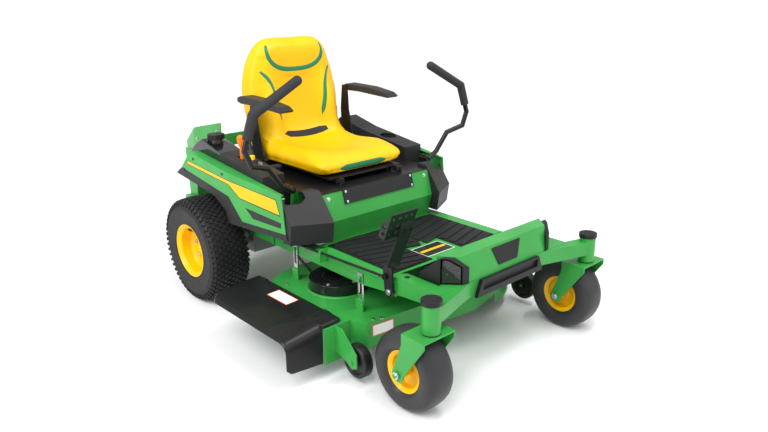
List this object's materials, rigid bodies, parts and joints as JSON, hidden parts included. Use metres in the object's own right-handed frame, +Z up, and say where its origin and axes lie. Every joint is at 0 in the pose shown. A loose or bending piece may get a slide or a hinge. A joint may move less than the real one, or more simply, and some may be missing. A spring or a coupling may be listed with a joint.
{
  "type": "zero turn mower",
  "caption": "Ride-on zero-turn mower with lap-bar levers, bucket seat, caster front wheels, driven rear wheels and a side-discharge cutting deck.",
  "frame": {"origin": "middle of the machine's box in plan, on the ground", "axes": "+Z up, -Y towards the front casters, +X towards the operator's left"},
  "size_m": [1.2992, 1.865, 1.103],
  "materials": {
    "green_paint": "glossy powder coat",
    "green_plastic": "semi-gloss moulded panel",
    "yellow_paint": "glossy paint",
    "black_plastic": "satin, fine grain",
    "grey_plastic": "fine texture",
    "gloss_black": "glossy",
    "black_paint": "semi-gloss powder coat",
    "black_rubber": "ribbed mat",
    "belt_rubber": "matt",
    "tire_rubber": "matt tread, satin walls",
    "zinc_steel": "zinc plated",
    "cast_alloy": "as cast",
    "dark_iron": "painted casting",
    "blade_steel": "painted steel",
    "lens": "clear lens",
    "seat_vinyl": "grained vinyl",
    "foam_grip": "closed foam",
    "orange_plastic": "glossy",
    "yellow_plastic": "glossy"
  },
  "bodies": {
    "chassis": {"main_frame": "green_paint", "floor_pan": "green_paint", "foot_mats": "black_rubber", "front_panel": "green_paint", "seat_platform": "black_paint", "nose_cover": "green_paint", "nose_trim": "black_plastic", "lamp_lenses": "lens", "fender_left": "green_plastic", "fender_right": "green_plastic", "body_trim": "black_plastic", "console_left": "grey_plastic", "console_right": "grey_plastic", "rear_guard": "green_paint", "fuel_tank": "gloss_black", "engine_block": "cast_alloy", "engine_shroud": "gloss_black", "muffler": "dark_iron", "transaxles": "cast_alloy", "battery": "gloss_black", "caster_bearings": "black_plastic"},
    "filler_cap": {"fuel_cap": "black_plastic"},
    "drive_pulley": {"engine_pulley": "zinc_steel"},
    "rear_wheel_left": {"rear_hub_left": "zinc_steel", "rear_rim_left": "yellow_paint", "rear_tire_left": "tire_rubber"},
    "rear_wheel_right": {"rear_hub_right": "zinc_steel", "rear_rim_right": "yellow_paint", "rear_tire_right": "tire_rubber"},
    "caster_left": {"caster_fork_left": "green_paint"},
    "caster_right": {"caster_fork_right": "green_paint"},
    "caster_wheel_left": {"caster_rim_left": "yellow_paint", "caster_tire_left": "tire_rubber"},
    "caster_wheel_right": {"caster_rim_right": "yellow_paint", "caster_tire_right": "tire_rubber"},
    "deck": {"deck_shell": "green_paint", "spindle_housings": "cast_alloy", "belt_covers": "black_plastic", "deck_belt": "belt_rubber", "deck_links": "zinc_steel"},
    "blade_left": {"blade_spindle_left": "blade_steel"},
    "blade_right": {"blade_spindle_right": "blade_steel"},
    "gauge_left": {"gauge_wheel_left": "black_plastic"},
    "gauge_right": {"gauge_wheel_right": "black_plastic"},
    "chute": {"discharge_chute": "black_plastic"},
    "pedal": {"lift_pedal": "black_paint"},
    "rod": {"lift_rod": "black_paint"},
    "arm_left": {"control_arm_left": "black_paint"},
    "arm_right": {"control_arm_right": "black_paint"},
    "lever_left": {"lever_left": "black_paint", "grip_left": "foam_grip"},
    "lever_right": {"lever_right": "black_paint", "grip_right": "foam_grip"},
    "seat": {"seat_base": "black_paint", "seat_cushion": "seat_vinyl"},
    "armrest_left": {"armrest_left": "black_plastic"},
    "armrest_right": {"armrest_right": "black_plastic"},
    "throttle": {"throttle_lever": "orange_plastic"},
    "knob": {"blade_knob": "yellow_plastic"},
    "key": {"ignition_key": "zinc_steel"}
  },
  "joints": [
    {"name": "rear_axle_left", "type": "hinge", "parent": "chassis", "child": "rear_wheel_left", "pos_m": [0.5355, 0.4625, 0.2286], "axis": [1, 0, 0], "continuous": true},
    {"name": "caster_swivel_left", "type": "hinge", "parent": "chassis", "child": "caster_left", "pos_m": [0.4865, -0.8695, 0.35], "axis": [0, 0, 1], "continuous": true},
    {"name": "caster_axle_left", "type": "hinge", "parent": "caster_left", "child": "caster_wheel_left", "pos_m": [0.4865, -0.7905, 0.142], "axis": [1, 0, 0], "continuous": true},
    {"name": "rear_axle_right", "type": "hinge", "parent": "chassis", "child": "rear_wheel_right", "pos_m": [-0.4265, 0.4625, 0.2286], "axis": [1, 0, 0], "continuous": true},
    {"name": "caster_swivel_right", "type": "hinge", "parent": "chassis", "child": "caster_right", "pos_m": [-0.3775, -0.8695, 0.35], "axis": [0, 0, 1], "continuous": true},
    {"name": "caster_axle_right", "type": "hinge", "parent": "caster_right", "child": "caster_wheel_right", "pos_m": [-0.3775, -0.7905, 0.142], "axis": [1, 0, 0], "continuous": true},
    {"name": "deck_lift", "type": "slide", "parent": "chassis", "child": "deck", "axis": [0, 0, 1], "range_m": [0, 0.057], "deforming": ["deck_belt"]},
    {"name": "blade_spin_right", "type": "hinge", "parent": "deck", "child": "blade_right", "pos_m": [-0.2135, -0.2025, 0.068], "axis": [0, 0, 1], "continuous": true},
    {"name": "blade_spin_left", "type": "hinge", "parent": "deck", "child": "blade_left", "pos_m": [0.3225, -0.2725, 0.068], "axis": [0, 0, 1], "continuous": true},
    {"name": "pulley_spin", "type": "hinge", "parent": "chassis", "child": "drive_pulley", "pos_m": [0.0545, 0.6525, 0.217], "axis": [0, 0, 1], "continuous": true},
    {"name": "gauge_axle_left", "type": "hinge", "parent": "deck", "child": "gauge_left", "pos_m": [0.5245, -0.5555, 0.083], "axis": [1, 0, 0], "continuous": true},
    {"name": "gauge_axle_right", "type": "hinge", "parent": "deck", "child": "gauge_right", "pos_m": [-0.4155, -0.5555, 0.083], "axis": [1, 0, 0], "continuous": true},
    {"name": "chute_hinge", "type": "hinge", "parent": "deck", "child": "chute", "pos_m": [-0.4175, -0.1975, 0.207], "axis": [0, 1, 0], "range_deg": [0, 80]},
    {"name": "pedal_hinge", "type": "hinge", "parent": "chassis", "child": "pedal", "pos_m": [-0.3105, -0.6045, 0.327], "axis": [1, 0, 0], "range_deg": [0, 25]},
    {"name": "rod_slide", "type": "slide", "parent": "chassis", "child": "rod", "axis": [0, -0.9991, 0.0425], "range_m": [0, 0.0247]},
    {"name": "drive_lever_left", "type": "hinge", "parent": "chassis", "child": "arm_left", "pos_m": [0.4205, -0.0075, 0.47], "axis": [1, 0, 0], "range_deg": [-12, 15]},
    {"name": "lever_swing_left", "type": "hinge", "parent": "arm_left", "child": "lever_left", "pos_m": [0.4245, -0.0275, 0.572], "axis": [0, -1, 0], "range_deg": [0, 28]},
    {"name": "drive_lever_right", "type": "hinge", "parent": "chassis", "child": "arm_right", "pos_m": [-0.3115, -0.0075, 0.47], "axis": [1, 0, 0], "range_deg": [-12, 15]},
    {"name": "lever_swing_right", "type": "hinge", "parent": "arm_right", "child": "lever_right", "pos_m": [-0.3155, -0.0275, 0.572], "axis": [0, 1, 0], "range_deg": [0, 28]},
    {"name": "seat_tilt", "type": "hinge", "parent": "chassis", "child": "seat", "pos_m": [0.0545, -0.0855, 0.57], "axis": [1, 0, 0], "range_deg": [0, 60]},
    {"name": "armrest_hinge_left", "type": "hinge", "parent": "seat", "child": "armrest_left", "pos_m": [0.3165, 0.3775, 0.861], "axis": [-1, 0, 0], "range_deg": [0, 95]},
    {"name": "armrest_hinge_right", "type": "hinge", "parent": "seat", "child": "armrest_right", "pos_m": [-0.2075, 0.3775, 0.861], "axis": [-1, 0, 0], "range_deg": [0, 95]},
    {"name": "throttle_hinge", "type": "hinge", "parent": "chassis", "child": "throttle", "pos_m": [-0.3305, 0.2725, 0.612], "axis": [1, 0, 0], "range_deg": [-20, 20]},
    {"name": "knob_pull", "type": "slide", "parent": "chassis", "child": "knob", "axis": [0, 0, 1], "range_m": [0, 0.012]},
    {"name": "key_turn", "type": "hinge", "parent": "chassis", "child": "key", "pos_m": [-0.3305, 0.1325, 0.61], "axis": [0, 0, 1], "range_deg": [0, 90]},
    {"name": "cap_turn", "type": "hinge", "parent": "chassis", "child": "filler_cap", "pos_m": [-0.3255, 0.4825, 0.7], "axis": [0, 0, 1], "range_deg": [0, 90]}
  ],
  "couplings": [
    {"joint": "blade_spin_left", "follows": "blade_spin_right", "ratio": 1},
    {"joint": "pulley_spin", "follows": "blade_spin_right", "ratio": 1.25},
    {"joint": "pedal_hinge", "follows": "deck_lift", "rad_per_m": 7.6},
    {"joint": "rod_slide", "follows": "deck_lift", "ratio": 0.43}
  ]
}
